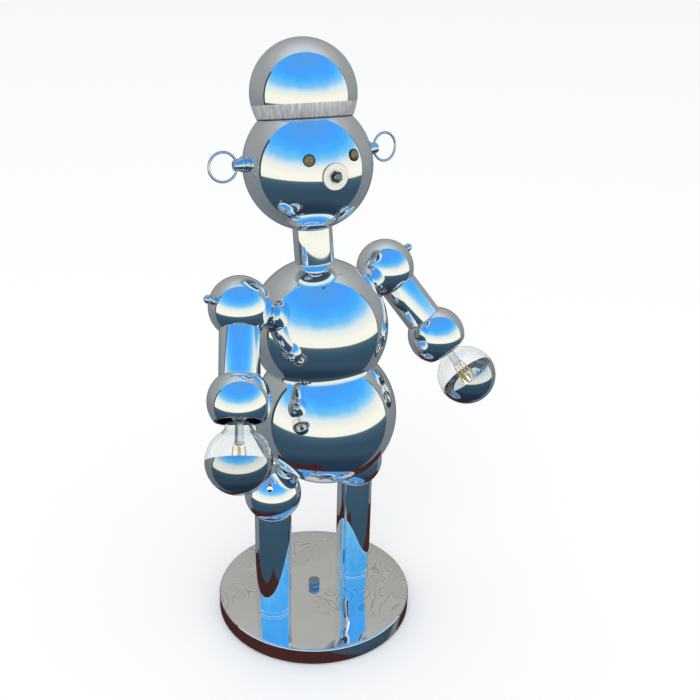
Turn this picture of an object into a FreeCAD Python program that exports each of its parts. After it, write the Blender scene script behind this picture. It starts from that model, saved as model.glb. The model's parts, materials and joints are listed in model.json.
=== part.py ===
import FreeCAD, Part
import math
import os

# Robot shaped desk lamp. Right and left are the robot's own; it faces -Y and stands on z = 0.
# The feature that takes the most skill is the shoulder: a hollow ball that turns on a tilted bolt against the chest.
os.makedirs("parts", exist_ok=True)
document = FreeCAD.newDocument("robot_lamp")

# Driving dimensions in millimetres and degrees, each written once.
SIZES = {
    "base_radius": 105.0,
    "base_height": 19.0,
    "base_edge": 2.0,
    "pan_wall": 2.0,
    "felt_thickness": 1.5,
    "weight_height": 10.0,
    "leg_spread": 55.0,
    "leg_radius": 19.0,
    "hip_press": 0.5,
    "hip_radius": 29.0,
    "belly_radius": 72.0,
    "chest_radius": 68.0,
    "chest_rise": 318.0,
    "chest_forward": 3.5,
    "waist_reach": 91.4,
    "spine_lean": 7.2,
    "neck_reach": 158.0,
    "neck_radius": 19.0,
    "head_radius": 61.0,
    "head_turn": -14.0,
    "cap_radius": 49.6,
    "cap_reach": 64.8,
    "cap_seat": 42.5,
    "cap_tilt": 5.7,
    "cap_turn": 153.0,
    "shoulder_tilt": 24.6,
    "shoulder_radius": 29.3,
    "arm_swing": 25.0,
    "arm_radius": 19.0,
    "arm_reach": 88.3,
    "hand_radius": 29.3,
    "hand_mouth": 18.6,
    "bulb_reach": 53.9,
    "bulb_radius": 30.0,
    "bulb_neck": 12.6,
    "bulb_neck_length": 14.5,
    "bulb_shoulder": 16.2,
    "bulb_glass": 0.9,
    "silver_skin": 0.3,
    "stem_radius": 4.0,
    "filament_radius": 0.75,
    "filament_length": 24.0,
    "filament_lean": 2.4,
    "stem_short": 14.5,
    "screw_cap_radius": 13.0,
    "screw_cap_length": 24.0,
    "socket_wall": 3.0,
    "shell_wall": 2.0,
    "flat_wall": 3.0,
    "tube_wall": 1.6,
    "pipe_radius": 5.0,
    "nut_radius": 8.5,
    "nut_height": 5.0,
    "bolt_radius": 4.0,
    "bolt_nut_radius": 7.0,
    "finial_radius": 4.0,
    "finial_stem": 2.9,
    "eye_turn": 21.2,
    "eye_lift": 12.0,
    "eye_radius": 4.3,
    "eye_rim": 0.6,
    "nose_drop": 3.0,
    "nose_plate_radius": 12.2,
    "nose_plate_height": 1.3,
    "nose_nut_radius": 5.6,
    "nose_nut_height": 2.6,
    "nose_can_length": 16.0,
    "nose_can_wall": 6.0,
    "bushing_radius": 3.0,
    "bushing_out": 5.8,
    "plunger_radius": 1.9,
    "plunger_out": 4.6,
    "ear_height": 7.6,
    "ear_length": 12.2,
    "ear_flange": 7.4,
    "ear_groove": 1.4,
    "ear_tip_radius": 4.4,
    "ear_stud": 2.5,
    "ring_radius": 13.3,
    "ring_wire": 1.25,
    "ring_rest": 12.0,
    "ring_hole": 2.35,
    "ring_inset": 3.5,
    "knob_radius": 6.2,
    "knob_height": 8.0,
    "knob_shaft": 2.0,
    "switch_radius": 11.0,
    "cord_hole": 3.2,
    "cord_height": 9.0,
    "moving_gap": 0.3,
    "fit_gap": 0.15,
    "running_gap": 0.06,
}

sheet = document.addObject("Spreadsheet::Sheet", "sizes")
for row, (word, number) in enumerate(SIZES.items(), start=1):
    sheet.set(f"A{row}", word)
    sheet.set(f"B{row}", str(number))
    sheet.setAlias(f"B{row}", word)
document.recompute()


def size(word):
    return SIZES[word]


def bind(item, prop, words):
    """Bind a property to a sum of sheet cells; the words are separated by spaces."""
    item.setExpression(prop, " ".join(f"sizes.{w}" if w in SIZES else w for w in words.split()))


def place(item, point, direction=FreeCAD.Vector(0, 0, 1)):
    turn = FreeCAD.Rotation(FreeCAD.Vector(0, 0, 1), direction)
    item.Placement = FreeCAD.Placement(point, turn)
    return item


def rod(radius, length, foot, direction):
    """A cylinder that starts at foot and runs along direction."""
    item = document.addObject("Part::Cylinder", "rod")
    bind(item, "Radius", radius)
    bind(item, "Height", length)
    return place(item, foot, direction)


def cone(foot_radius, tip_radius, length, foot, direction):
    item = document.addObject("Part::Cone", "cone")
    bind(item, "Radius1", foot_radius)
    bind(item, "Radius2", tip_radius)
    bind(item, "Height", length)
    return place(item, foot, direction)


def ball(radius, centre):
    item = document.addObject("Part::Sphere", "ball")
    bind(item, "Radius", radius)
    return place(item, centre)


def hexagon(radius, length, foot, direction, sides=6):
    item = document.addObject("Part::Prism", "hexagon")
    item.Polygon = sides
    bind(item, "Circumradius", radius)
    bind(item, "Height", length)
    return place(item, foot, direction)


def hoop(radius, wire, centre, axis):
    item = document.addObject("Part::Torus", "hoop")
    bind(item, "Radius1", radius)
    bind(item, "Radius2", wire)
    return place(item, centre, axis)


def join(*pieces):
    item = document.addObject("Part::MultiFuse", "joined")
    item.Shapes = list(pieces)
    item.Refine = True
    return item


def cut(body, *tools):
    item = document.addObject("Part::Cut", "cut")
    item.Base = body
    item.Tool = tools[0] if len(tools) == 1 else join(*tools)
    return item


def overlap(*pieces):
    item = document.addObject("Part::MultiCommon", "overlap")
    item.Shapes = list(pieces)
    return item


finished = []


def keep(label, *solids):
    """Name a finished sub-part; several solids become one group of identical fasteners."""
    item = solids[0]
    if len(solids) > 1:
        item = document.addObject("Part::Compound", "group")
        item.Links = list(solids)
    item.Label = label
    finished.append(item)
    return item


UP = FreeCAD.Vector(0, 0, 1)
FORWARD = FreeCAD.Vector(0, -1, 0)
LEAN = FreeCAD.Rotation(FreeCAD.Vector(1, 0, 0), -size("spine_lean"))
SPINE = LEAN.multVec(UP)
CHEST = FreeCAD.Vector(0, -size("chest_forward"), size("base_height") + size("chest_rise"))
BELLY = CHEST - SPINE * size("waist_reach")
HEAD = CHEST + SPINE * size("neck_reach")
HEAD_TURN = LEAN * FreeCAD.Rotation(UP, size("head_turn"))


def flat_at(ball_radius, tube_radius):
    """Distance from a ball's centre to the flat on which a tube of that radius stands."""
    return math.sqrt(size(ball_radius) ** 2 - size(tube_radius) ** 2)


def beyond(centre, direction, distance, reach):
    """A blunt cutter that takes off everything beyond a plane across direction."""
    return rod(f"{reach} * 1.5", f"{reach} * 2", centre + direction * distance, direction)


def hollow_ball(radius, centre, flats=(), mouths=()):
    """A ball shell; each flat keeps a floor inside it, each mouth stays open."""
    outer = ball(radius, centre)
    inner = ball(f"{radius} - shell_wall", centre)
    if flats:
        inner = cut(inner, *[beyond(centre, way, far - size("flat_wall"), radius) for way, far in flats])
    openings = [beyond(centre, way, far, radius) for way, far in list(flats) + list(mouths)]
    return cut(outer, inner, *openings)


def head_way(turn, lift):
    """A direction out of the head, by degrees turned from straight ahead and lifted."""
    turn, lift = math.radians(turn), math.radians(lift)
    local = FreeCAD.Vector(math.sin(turn) * math.cos(lift), -math.cos(turn) * math.cos(lift), math.sin(lift))
    return HEAD_TURN.multVec(local)


# The cap sits a little back on the head: its own axis leans away from the spine.
CAP_AXIS = head_way(size("cap_turn"), 90 - size("cap_tilt"))
CAP = HEAD + CAP_AXIS * size("cap_reach")


# Base: a shallow pan turned over a weight, closed by felt.
FLOOR = FreeCAD.Vector(0, 0, 0)
PAN_FOOT = UP * size("felt_thickness")
LEG_FEET = {side: FreeCAD.Vector(way * size("leg_spread"), 0, 0) for side, way in (("right", -1), ("left", 1))}
WEIGHT_FOOT = UP * (size("base_height") - size("pan_wall") - size("weight_height"))
CORD_AXIS = FreeCAD.Vector(0, 1, 0)
CORD_FOOT = FreeCAD.Vector(0, size("base_radius") - size("pan_wall") * 2, size("cord_height"))


def base_pan():
    blank = rod("base_radius", "base_height - felt_thickness", PAN_FOOT, UP)
    rounded = document.addObject("Part::Fillet", "rounded")
    rounded.Base = blank
    document.recompute()
    top = [number for number, edge in enumerate(blank.Shape.Edges, start=1)
           if edge.BoundBox.ZMin > size("base_height") - 0.01]
    rounded.Edges = [(number, size("base_edge"), size("base_edge")) for number in top]
    hollow = rod("base_radius - pan_wall", "base_height - felt_thickness - pan_wall", PAN_FOOT, UP)
    holes = [rod("pipe_radius + fit_gap", "base_height * 2", foot, UP) for foot in LEG_FEET.values()]
    switch_hole = rod("bushing_radius + fit_gap", "base_height * 2", FLOOR, UP)
    cord_hole = rod("cord_hole + pan_wall", "pan_wall * 4", CORD_FOOT - CORD_AXIS, CORD_AXIS)
    keep("base_pan", cut(rounded, hollow, switch_hole, cord_hole, *holes))


def base_weight():
    disc = rod("base_radius - pan_wall - fit_gap", "weight_height", WEIGHT_FOOT, UP)
    pockets = []
    for foot in LEG_FEET.values():
        pockets.append(rod("pipe_radius + fit_gap", "base_height * 2", foot, UP))
    pockets.append(rod("switch_radius + 1", "base_height * 2", FLOOR, UP))
    channel = document.addObject("Part::Box", "channel")
    bind(channel, "Length", "cord_hole * 4")
    bind(channel, "Width", "base_radius")
    bind(channel, "Height", "base_height")
    place(channel, FreeCAD.Vector(-size("cord_hole") * 2, 0, 0))
    keep("base_weight", cut(disc, channel, *pockets))


def base_felt():
    keep("base_felt", rod("base_radius - 1", "felt_thickness", FLOOR, UP))


def cord_bush():
    barrel = rod("cord_hole + pan_wall - 0.1", "pan_wall * 3", CORD_FOOT, CORD_AXIS)
    flange_foot = FreeCAD.Vector(0, size("base_radius") - size("pan_wall") * 2, size("cord_height"))
    flange = rod("cord_hole + pan_wall + 1", "pan_wall * 0.9", flange_foot, CORD_AXIS)
    bore = rod("cord_hole", "pan_wall * 8", CORD_FOOT - CORD_AXIS * size("pan_wall"), CORD_AXIS)
    keep("cord_bush", cut(join(barrel, flange), bore))


def base_switch():
    top = size("base_height") - size("pan_wall")
    can = rod("switch_radius", "weight_height", UP * (top - size("weight_height")), UP)
    bushing = rod("bushing_radius", "weight_height + pan_wall", UP * (top - size("weight_height")), UP)
    shaft_hole = rod("knob_shaft + running_gap", "base_height", UP * (top - size("weight_height") + 3), UP)
    keep("base_switch_body", cut(join(can, bushing), shaft_hole))
    grip_foot = UP * (size("base_height") + size("moving_gap"))
    grip = hexagon("knob_radius", "knob_height", grip_foot, UP, 16)
    shaft = rod("knob_shaft", "weight_height", UP * (size("base_height") - size("weight_height") + 2), UP)
    keep("base_switch_knob", join(grip, shaft))


base_pan()
base_weight()
base_felt()
cord_bush()
base_switch()

# Legs: a tube between the base and the flat of a hip ball, drawn together by a threaded pipe.
# The hip balls carry the belly, so their height follows from where the two rounds touch.
HIP_REACH = size("hip_radius") + size("belly_radius") - size("hip_press")
HIP_LEVEL = BELLY.z - math.sqrt(HIP_REACH ** 2 - size("leg_spread") ** 2 - BELLY.y ** 2)
HIPS = {side: foot + UP * HIP_LEVEL for side, foot in LEG_FEET.items()}
HIP_FLAT = flat_at("hip_radius", "leg_radius")
DOWN = UP * -1


def seat_way(side):
    return (BELLY - HIPS[side]).normalize()


def leg(side):
    foot = LEG_FEET[side] + UP * size("base_height")
    length = f"{HIP_LEVEL - HIP_FLAT} - base_height"
    shell = cut(rod("leg_radius", length, foot, UP), rod("leg_radius - tube_wall", length, foot, UP))
    keep(f"leg_tube_{side}", shell)
    hip = hollow_ball("hip_radius", HIPS[side], flats=[(DOWN, HIP_FLAT)])
    pipe_hole = rod("pipe_radius + fit_gap", "hip_radius * 2", HIPS[side], DOWN)
    bolt_hole = rod("bolt_radius + fit_gap", "hip_radius * 2", HIPS[side], seat_way(side))
    keep(f"hip_ball_{side}", cut(hip, pipe_hole, bolt_hole, ball("belly_radius", BELLY)))


def leg_fasteners():
    pipes = []
    nuts = []
    bolts = []
    bolt_nuts = []
    pipe_foot = size("base_height") - size("pan_wall") - size("weight_height") - size("nut_height")
    for side, foot in LEG_FEET.items():
        shelf = HIPS[side] + DOWN * (HIP_FLAT - size("flat_wall"))
        length = shelf.z + size("nut_height") - pipe_foot
        pipes.append(rod("pipe_radius", f"0 + {length}", foot + UP * pipe_foot, UP))
        for nut_foot in (foot + UP * pipe_foot, shelf):
            nuts.append(cut(hexagon("nut_radius", "nut_height", nut_foot, UP),
                            rod("pipe_radius", "nut_height", nut_foot, UP)))
        way = seat_way(side)
        reach = (BELLY - HIPS[side]).Length - size("belly_radius")
        head_foot = HIPS[side] + way * (reach - 10)
        far = HIPS[side] + way * (reach + size("shell_wall") + 0.8)
        head = hexagon("bolt_nut_radius", "5", head_foot, way)
        bolts.append(join(head, rod("bolt_radius", "22", head_foot, way)))
        bolt_nuts.append(cut(hexagon("bolt_nut_radius", "5", far, way), rod("bolt_radius", "9", far, way)))
    keep("leg_pipes", *pipes)
    keep("leg_nuts", *nuts)
    keep("hip_bolts", *bolts)
    keep("hip_bolt_nuts", *bolt_nuts)


for side in LEG_FEET:
    leg(side)
leg_fasteners()

# Trunk: belly, chest and neck on one leaning pipe.
SHOULDERS = {}
for side, way in (("right", -1), ("left", 1)):
    tilt = math.radians(size("shoulder_tilt"))
    axis = LEAN.multVec(FreeCAD.Vector(way * math.cos(tilt), 0, math.sin(tilt)))
    hang = LEAN.multVec(FreeCAD.Vector(way * math.sin(tilt), 0, -math.cos(tilt)))
    ahead = LEAN.multVec(FORWARD)
    swing = math.radians(size("arm_swing"))
    arm = hang * math.cos(swing) + ahead * math.sin(swing)
    centre = CHEST + axis * (size("chest_radius") + size("moving_gap") + size("shoulder_radius"))
    SHOULDERS[side] = (centre, axis, arm)


def trunk():
    belly = hollow_ball("belly_radius", BELLY)
    spine_hole = rod("pipe_radius + fit_gap", "belly_radius * 2", BELLY, SPINE)
    bolt_holes = [rod("bolt_radius + fit_gap", "belly_radius", HIPS[side], seat_way(side)) for side in HIPS]
    keep("belly_shell", cut(belly, spine_hole, *bolt_holes))
    chest = hollow_ball("chest_radius", CHEST)
    neck_hole = rod("pipe_radius + fit_gap", "chest_radius * 2", CHEST, SPINE)
    arm_holes = [rod("bolt_radius + fit_gap", "chest_radius * 2", CHEST, SHOULDERS[side][1]) for side in SHOULDERS]
    keep("chest_shell", cut(chest, ball("belly_radius", BELLY), neck_hole, *arm_holes))
    outside = rod("neck_radius", "neck_reach", CHEST, SPINE)
    inside = rod("neck_radius - tube_wall", "neck_reach", CHEST, SPINE)
    head_space = ball("head_radius + moving_gap", HEAD)
    keep("neck_tube", cut(outside, inside, ball("chest_radius", CHEST), head_space))


def spine_fasteners():
    start = size("belly_radius") - size("shell_wall") - size("nut_height") - 0.6
    foot = BELLY + SPINE * start
    head_shelf = HEAD - SPINE * (size("head_radius") - size("shell_wall") - 1.1)
    length = (head_shelf - foot).Length + size("nut_height")
    keep("spine_pipe", rod("pipe_radius", f"0 + {length}", foot, SPINE))
    chest_shelf = CHEST + SPINE * (size("chest_radius") - size("shell_wall") - size("nut_height") - 0.7)
    nuts = []
    for nut_foot in (foot, chest_shelf, head_shelf):
        nuts.append(cut(hexagon("nut_radius", "nut_height", nut_foot, SPINE),
                        rod("pipe_radius", "nut_height", nut_foot, SPINE)))
    keep("spine_nuts", *nuts)


trunk()
spine_fasteners()


# Arms: a ball on the shoulder bolt, a tube, and an open ball that holds a lamp.
def arm_pieces(side):
    shoulder, axis, way = SHOULDERS[side]
    hand = shoulder + way * size("arm_reach")
    top_flat = flat_at("shoulder_radius", "arm_radius")
    low_flat = flat_at("hand_radius", "arm_radius")
    back = way * -1
    shell = hollow_ball("shoulder_radius", shoulder, flats=[(way, top_flat)])
    bolt_hole = rod("bolt_radius + running_gap", "shoulder_radius * 4", shoulder - axis * 60, axis)
    pipe_hole = rod("pipe_radius + fit_gap", "shoulder_radius * 2", shoulder, way)
    keep(f"shoulder_ball_{side}", cut(shell, bolt_hole, pipe_hole))
    length = f"arm_reach - {top_flat + low_flat}"
    foot = shoulder + way * top_flat
    keep(f"arm_tube_{side}", cut(rod("arm_radius", length, foot, way), rod("arm_radius - tube_wall", length, foot, way)))
    cup = hollow_ball("hand_radius", hand, flats=[(back, low_flat)], mouths=[(way, size("hand_mouth"))])
    keep(f"hand_ball_{side}", cut(cup, rod("pipe_radius + fit_gap", "hand_radius * 2", hand, back)))
    shelf = low_flat - size("flat_wall")
    socket_foot = hand - way * shelf
    pipe_foot = shoulder + way * (top_flat - size("flat_wall") - size("nut_height"))
    pipe_length = (socket_foot - pipe_foot).Length + size("socket_wall")
    keep(f"arm_pipe_{side}", rod("pipe_radius", f"0 + {pipe_length}", pipe_foot, way))
    keep(f"arm_nut_{side}", cut(hexagon("nut_radius", "nut_height", pipe_foot, way),
                                rod("pipe_radius", "nut_height", pipe_foot, way)))
    bulb = hand + way * size("bulb_reach")
    neck_at = flat_at("bulb_radius", "bulb_neck")
    cap_end = size("bulb_reach") - neck_at - size("bulb_neck_length")
    cap_foot = hand + way * (cap_end - size("screw_cap_length"))
    socket_length = f"{shelf} + {cap_end} - 4"
    body = rod("screw_cap_radius + fit_gap + socket_wall", socket_length, socket_foot, way)
    well_foot = socket_foot + way * (size("socket_wall") + 1)
    well = rod("screw_cap_radius + fit_gap", "hand_radius * 3", well_foot, way)
    wire_hole = rod("pipe_radius + fit_gap", "hand_radius", socket_foot - way * 5, way)
    keep(f"lamp_socket_{side}", cut(body, well, wire_hole))
    screw_cap = rod("screw_cap_radius", "screw_cap_length", cap_foot, way)
    contact = cone("3", "6", "3", cap_foot - way * 3, way)
    hollow = rod("screw_cap_radius - 0.8", "screw_cap_length - 1", cap_foot + way, way)
    keep(f"bulb_screw_cap_{side}", cut(join(screw_cap, contact), hollow))
    neck = f"{neck_at} + bulb_neck_length"
    slope_at = flat_at("bulb_radius", "bulb_shoulder")
    slope_length = "bulb_shoulder - bulb_neck + 5"
    slope = cone("bulb_shoulder", "bulb_neck", slope_length, bulb + back * (slope_at - 1), back)
    hollow_slope = cone("bulb_shoulder - bulb_glass", "bulb_neck - bulb_glass", slope_length,
                        bulb + back * (slope_at - 1 - size("bulb_glass")), back)
    glass = join(ball("bulb_radius", bulb), slope, rod("bulb_neck", neck, bulb, back))
    bore = rod("bulb_neck - bulb_glass", neck + " + 2", bulb, back)
    room = join(ball("bulb_radius - bulb_glass", bulb), hollow_slope, bore)
    keep(f"bulb_glass_{side}", cut(glass, room))
    silvered = ball("bulb_radius + silver_skin", bulb)
    skin = cut(silvered, ball("bulb_radius + running_gap", bulb), beyond(bulb, back, 0, "bulb_radius"))
    keep(f"bulb_silver_{side}", skin)
    stem_foot = hand + way * (cap_end + 0.3)
    stem_length = size("bulb_reach") - cap_end - size("stem_short")
    flare = cone("bulb_neck - bulb_glass - fit_gap", "stem_radius", "5", stem_foot, way)
    stem = join(rod("stem_radius", f"0 + {stem_length}", stem_foot, way), flare)
    keep(f"bulb_stem_{side}", stem)
    stem_tip = stem_foot + way * stem_length
    rods = []
    across = way.cross(axis).normalize()
    for number in range(4):
        spin = FreeCAD.Rotation(way, 90 * number + 45)
        out = spin.multVec(across)
        start = stem_tip - way * 2.2 + out * (size("stem_radius") + size("filament_radius") + size("moving_gap") / 2)
        lean = (way * size("filament_length") + out * size("filament_lean")).normalize()
        rods.append(rod("filament_radius", "filament_length", start, lean))
    keep(f"bulb_filaments_{side}", *rods)


def shoulder_fasteners():
    bolts = []
    nuts = []
    finials = []
    for shoulder, axis, way in SHOULDERS.values():
        inner = CHEST + axis * (size("chest_radius") - size("shell_wall") - 0.6 - 5)
        outer = size("shoulder_radius") + size("moving_gap")
        end = shoulder + axis * (outer + 5)
        bolts.append(rod("bolt_radius", f"0 + {(end - inner).Length - 5}", inner, axis))
        nuts.append(cut(hexagon("bolt_nut_radius", "5", inner, axis), rod("bolt_radius", "5", inner, axis)))
        foot = shoulder + axis * outer
        stem = cone("finial_radius", "finial_stem", "3", foot, axis)
        barrel = rod("finial_radius", "finial_radius", foot + axis * 3, axis)
        head = ball("finial_radius", foot + axis * (3 + size("finial_radius") * 0.8))
        finials.append(join(stem, barrel, head))
    keep("shoulder_bolts", *bolts)
    keep("shoulder_nuts", *nuts)
    keep("shoulder_finials", *finials)


for side in SHOULDERS:
    arm_pieces(side)
shoulder_fasteners()

# Head: a shell with eyes, nose switch, ears and a cap.
EYES = {side: head_way(way * size("eye_turn"), size("eye_lift")) for side, way in (("right", -1), ("left", 1))}
NOSE = head_way(0, -size("nose_drop"))
EAR_AXES = {"right": head_way(-90, 0), "left": head_way(90, 0)}
EAR_FOOT = HEAD + SPINE * size("ear_height")
EAR_SURFACE = math.sqrt(size("head_radius") ** 2 - size("ear_height") ** 2)


def head_shell():
    shell = hollow_ball("head_radius", HEAD)
    holes = [rod("pipe_radius + running_gap", "head_radius * 1.2", HEAD, SPINE * -1)]
    holes.append(rod("ear_stud + fit_gap", "head_radius * 1.2", HEAD, CAP_AXIS))
    holes.append(rod("bushing_radius + fit_gap", "head_radius * 1.2", HEAD, NOSE))
    for way in EYES.values():
        holes.append(rod("eye_radius + fit_gap", "head_radius * 1.2", HEAD, way))
    for way in EAR_AXES.values():
        holes.append(rod("ear_stud + fit_gap", "head_radius * 1.2", EAR_FOOT, way))
    keep("head_shell", cut(shell, *holes))


def cap():
    rim = size("cap_reach") - size("cap_seat")
    shell = hollow_ball("cap_radius", CAP, mouths=[(CAP_AXIS * -1, rim)])
    keep("cap_shell", cut(shell, ball("head_radius", HEAD)))
    stud_foot = size("head_radius") - size("shell_wall") - 8
    stud_top = size("cap_reach") + size("cap_radius") - size("shell_wall") - 0.1
    keep("cap_stud", rod("ear_stud", f"0 + {stud_top - stud_foot}", HEAD + CAP_AXIS * stud_foot, CAP_AXIS))
    nut_foot = HEAD + CAP_AXIS * (size("head_radius") - size("shell_wall") - 4.8)
    blank = hexagon("bolt_nut_radius", "4", nut_foot, CAP_AXIS)
    keep("cap_nut", cut(blank, rod("ear_stud", "4", nut_foot, CAP_AXIS)))


def eyes():
    rims = []
    jewels = []
    for way in EYES.values():
        seat = HEAD + way * size("head_radius")
        rims.append(cut(hoop("eye_radius + eye_rim + 0.1", "eye_rim", seat + way * 0.4, way), ball("head_radius", HEAD)))
        jewels.append(ball("eye_radius", seat - way * 0.8))
    keep("eye_rims", *rims)
    keep("eye_jewels", *jewels)


def nose():
    seat = HEAD + NOSE * (size("head_radius") - 0.02)
    plate = rod("nose_plate_radius", "nose_plate_height", seat, NOSE)
    shape = cut(plate, rod("bushing_radius + fit_gap", "9", seat - NOSE * 3, NOSE), ball("head_radius", HEAD))
    keep("nose_plate", shape)
    nut_foot = HEAD + NOSE * (size("head_radius") - 0.02 + size("nose_plate_height"))
    keep("nose_nut", cut(hexagon("nose_nut_radius", "nose_nut_height", nut_foot, NOSE),
                         rod("bushing_radius", "nose_nut_height", nut_foot, NOSE)))
    can_foot = HEAD + NOSE * (size("head_radius") - size("shell_wall") - size("nose_can_length"))
    can = rod("switch_radius * 0.7", "nose_can_length - 0.8", can_foot, NOSE)
    bushing = rod("bushing_radius", "nose_can_length + shell_wall + bushing_out", can_foot, NOSE)
    bore = rod("plunger_radius + running_gap", "head_radius", can_foot + NOSE * size("nose_can_wall"), NOSE)
    keep("nose_switch_body", cut(join(can, bushing), bore))
    plunger_low = size("nose_can_wall") + 4
    plunger_foot = can_foot + NOSE * plunger_low
    outside = size("plunger_out") + size("bushing_out") + size("shell_wall")
    tip = outside + size("nose_can_length") - plunger_low
    dome = ball("plunger_radius", plunger_foot + NOSE * tip)
    keep("nose_plunger", join(rod("plunger_radius", f"0 + {tip}", plunger_foot, NOSE), dome))


def ear(side):
    way = EAR_AXES[side]
    tip = EAR_SURFACE + size("ear_length")
    seat = EAR_FOOT + way * (EAR_SURFACE - 1.6)
    flange = rod("ear_flange", "3.2", seat, way)
    groove = rod("ear_flange - ear_groove", "5", seat, way)
    collar = rod("ear_flange", "1.4", seat + way * 4.2, way)
    taper = cone("ear_flange - 0.4", "ear_tip_radius", "ear_length - 4", seat + way * 5.6, way)
    stud = rod("ear_stud", "12", seat - way * 9, way)
    hole_at = EAR_FOOT + way * (tip - size("ring_inset"))
    hole = rod("ring_hole", "ear_flange * 4", hole_at - SPINE * size("ear_flange") * 2, SPINE)
    solid = cut(join(flange, groove, collar, taper), ball("head_radius", HEAD))
    keep(f"ear_knob_{side}", cut(join(solid, stud), hole))
    rest = math.radians(size("ring_rest") if side == "left" else 0)
    hang = way * math.cos(rest) - head_way(0, 0) * math.sin(rest)
    across = hang.cross(SPINE).normalize()
    ring_centre = hole_at + hang * (size("ring_radius") - 0.15)
    keep(f"ear_ring_{side}", hoop("ring_radius", "ring_wire", ring_centre, across))
    shelf = EAR_FOOT + way * (EAR_SURFACE - size("shell_wall") - 5.2)
    return cut(hexagon("bolt_nut_radius - 1", "4", shelf, way), rod("ear_stud", "4", shelf, way))


head_shell()
cap()
eyes()
nose()
keep("ear_nuts", *[ear(side) for side in EAR_AXES])

document.recompute()
for item in document.Objects:
    if "Invalid" in item.State or "Error" in item.State:
        raise RuntimeError(f"{item.Name} {item.Label} {item.State}")
for item in finished:
    if item.Shape.isNull() or not item.Shape.isValid():
        raise RuntimeError(f"{item.Label} has no valid shape")
    item.Shape.exportStep(f"parts/{item.Label}.step")
    print(item.Label, len(item.Shape.Solids), "solids", round(item.Shape.Volume), "mm3")
for label, point in (("belly", BELLY), ("chest", CHEST), ("head", HEAD), ("cap", CAP), ("ear foot", EAR_FOOT)):
    print(label, [round(value, 3) for value in point])
for side, (centre, axis, arm) in SHOULDERS.items():
    print("shoulder", side, [round(v, 5) for v in (*centre, *axis, *arm)])
    print("ear", side, [round(v, 5) for v in EAR_AXES[side]])
print("spine", [round(v, 6) for v in SPINE], "nose", [round(v, 6) for v in NOSE])
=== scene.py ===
# %% [markdown]
# # A robot shaped desk lamp in polished chrome
# The lamp is hollow balls and tubes drawn together by threaded pipe. The solid model comes in as a fixed
# frame, and each ball, tube and bulb gets a finely turned skin here, because a mirror shows every flat
# facet of a coarse mesh. The box of the solids is kept first.

# %% Load the frame
import bpy
import bmesh
import json
import math
from mathutils import Matrix, Vector


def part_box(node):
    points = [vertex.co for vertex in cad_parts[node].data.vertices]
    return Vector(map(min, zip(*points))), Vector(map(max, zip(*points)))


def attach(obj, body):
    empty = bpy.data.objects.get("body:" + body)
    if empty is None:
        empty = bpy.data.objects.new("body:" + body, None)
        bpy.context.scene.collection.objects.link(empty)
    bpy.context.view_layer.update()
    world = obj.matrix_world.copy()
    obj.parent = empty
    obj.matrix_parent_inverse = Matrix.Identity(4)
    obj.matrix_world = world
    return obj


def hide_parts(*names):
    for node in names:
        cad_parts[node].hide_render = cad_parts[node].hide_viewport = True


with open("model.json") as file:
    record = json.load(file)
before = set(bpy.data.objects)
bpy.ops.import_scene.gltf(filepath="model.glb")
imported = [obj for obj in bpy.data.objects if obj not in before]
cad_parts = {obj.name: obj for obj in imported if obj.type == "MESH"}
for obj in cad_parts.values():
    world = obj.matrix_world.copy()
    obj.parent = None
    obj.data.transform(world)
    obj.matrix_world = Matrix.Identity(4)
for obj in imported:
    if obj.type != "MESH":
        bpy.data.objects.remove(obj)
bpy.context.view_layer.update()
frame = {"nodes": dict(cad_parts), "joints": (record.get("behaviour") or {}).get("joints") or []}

# %% [markdown]
# ## Places, read from the joints
# A lamp like this is set out from its centre lines. The head's joint gives the leaning spine, each
# shoulder's joint gives the middle of its ball and the bolt that it turns on. The other places are steps
# along those lines, in metres.

# %% Centre lines
joints = {joint["name"]: joint for joint in frame["joints"]}
UP = Vector((0, 0, 1))
FLOOR = Vector((0, 0, 0))
SPINE = Vector(joints["head_turn"]["axis"]).normalized()
HEAD = Vector(joints["head_turn"]["pos_m"])
CHEST_TO_HEAD = 0.158
BELLY_TO_CHEST = 0.0914
CHEST = HEAD - SPINE * CHEST_TO_HEAD
BELLY = CHEST - SPINE * BELLY_TO_CHEST
BASE_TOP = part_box("base_pan")[1][2]
BASE_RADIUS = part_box("base_pan")[1][0]
LEG_SPREAD = 0.055
HIP_HEIGHT = BASE_TOP + 0.1445
HIP_RADIUS = 0.029
TUBE_RADIUS = 0.019
BALL_RADIUS = 0.0293
BELLY_RADIUS = 0.072
CHEST_RADIUS = 0.068
HEAD_RADIUS = 0.061
CAP_RADIUS = 0.0496
CAP_REACH = 0.0648
ARM_REACH = 0.0883
BULB_REACH = 0.0539
BULB_RADIUS = 0.030
SIDES = {"right": -1, "left": 1}
print("spine", SPINE, "head", HEAD)


# %% [markdown]
# ## A lathe
# Balls, tubes, knobs and bulbs are all spun or turned, so one helper stands for the lathe: it takes half of
# the section as (radius, height) pairs and turns it about a centre line. Round corners are arcs in the
# section, because a real edge is never sharp and its small round is what catches the light. Blender could
# screw a curve instead, but a mesh built ring by ring has clean quads and closed poles.

# %% Lathe and arc helpers
def arc(centre_radius, centre_height, radius, start, end, steps=8):
    """Points of an arc in the half section; angles in degrees from straight out, up is positive."""
    turns = [math.radians(start + (end - start) * step / steps) for step in range(steps + 1)]
    return [(centre_radius + radius * math.cos(turn), centre_height + radius * math.sin(turn)) for turn in turns]


def square_to(axis):
    """A matrix that turns the lathe's own Z onto axis."""
    return UP.rotation_difference(axis.normalized()).to_matrix().to_4x4()


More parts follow.
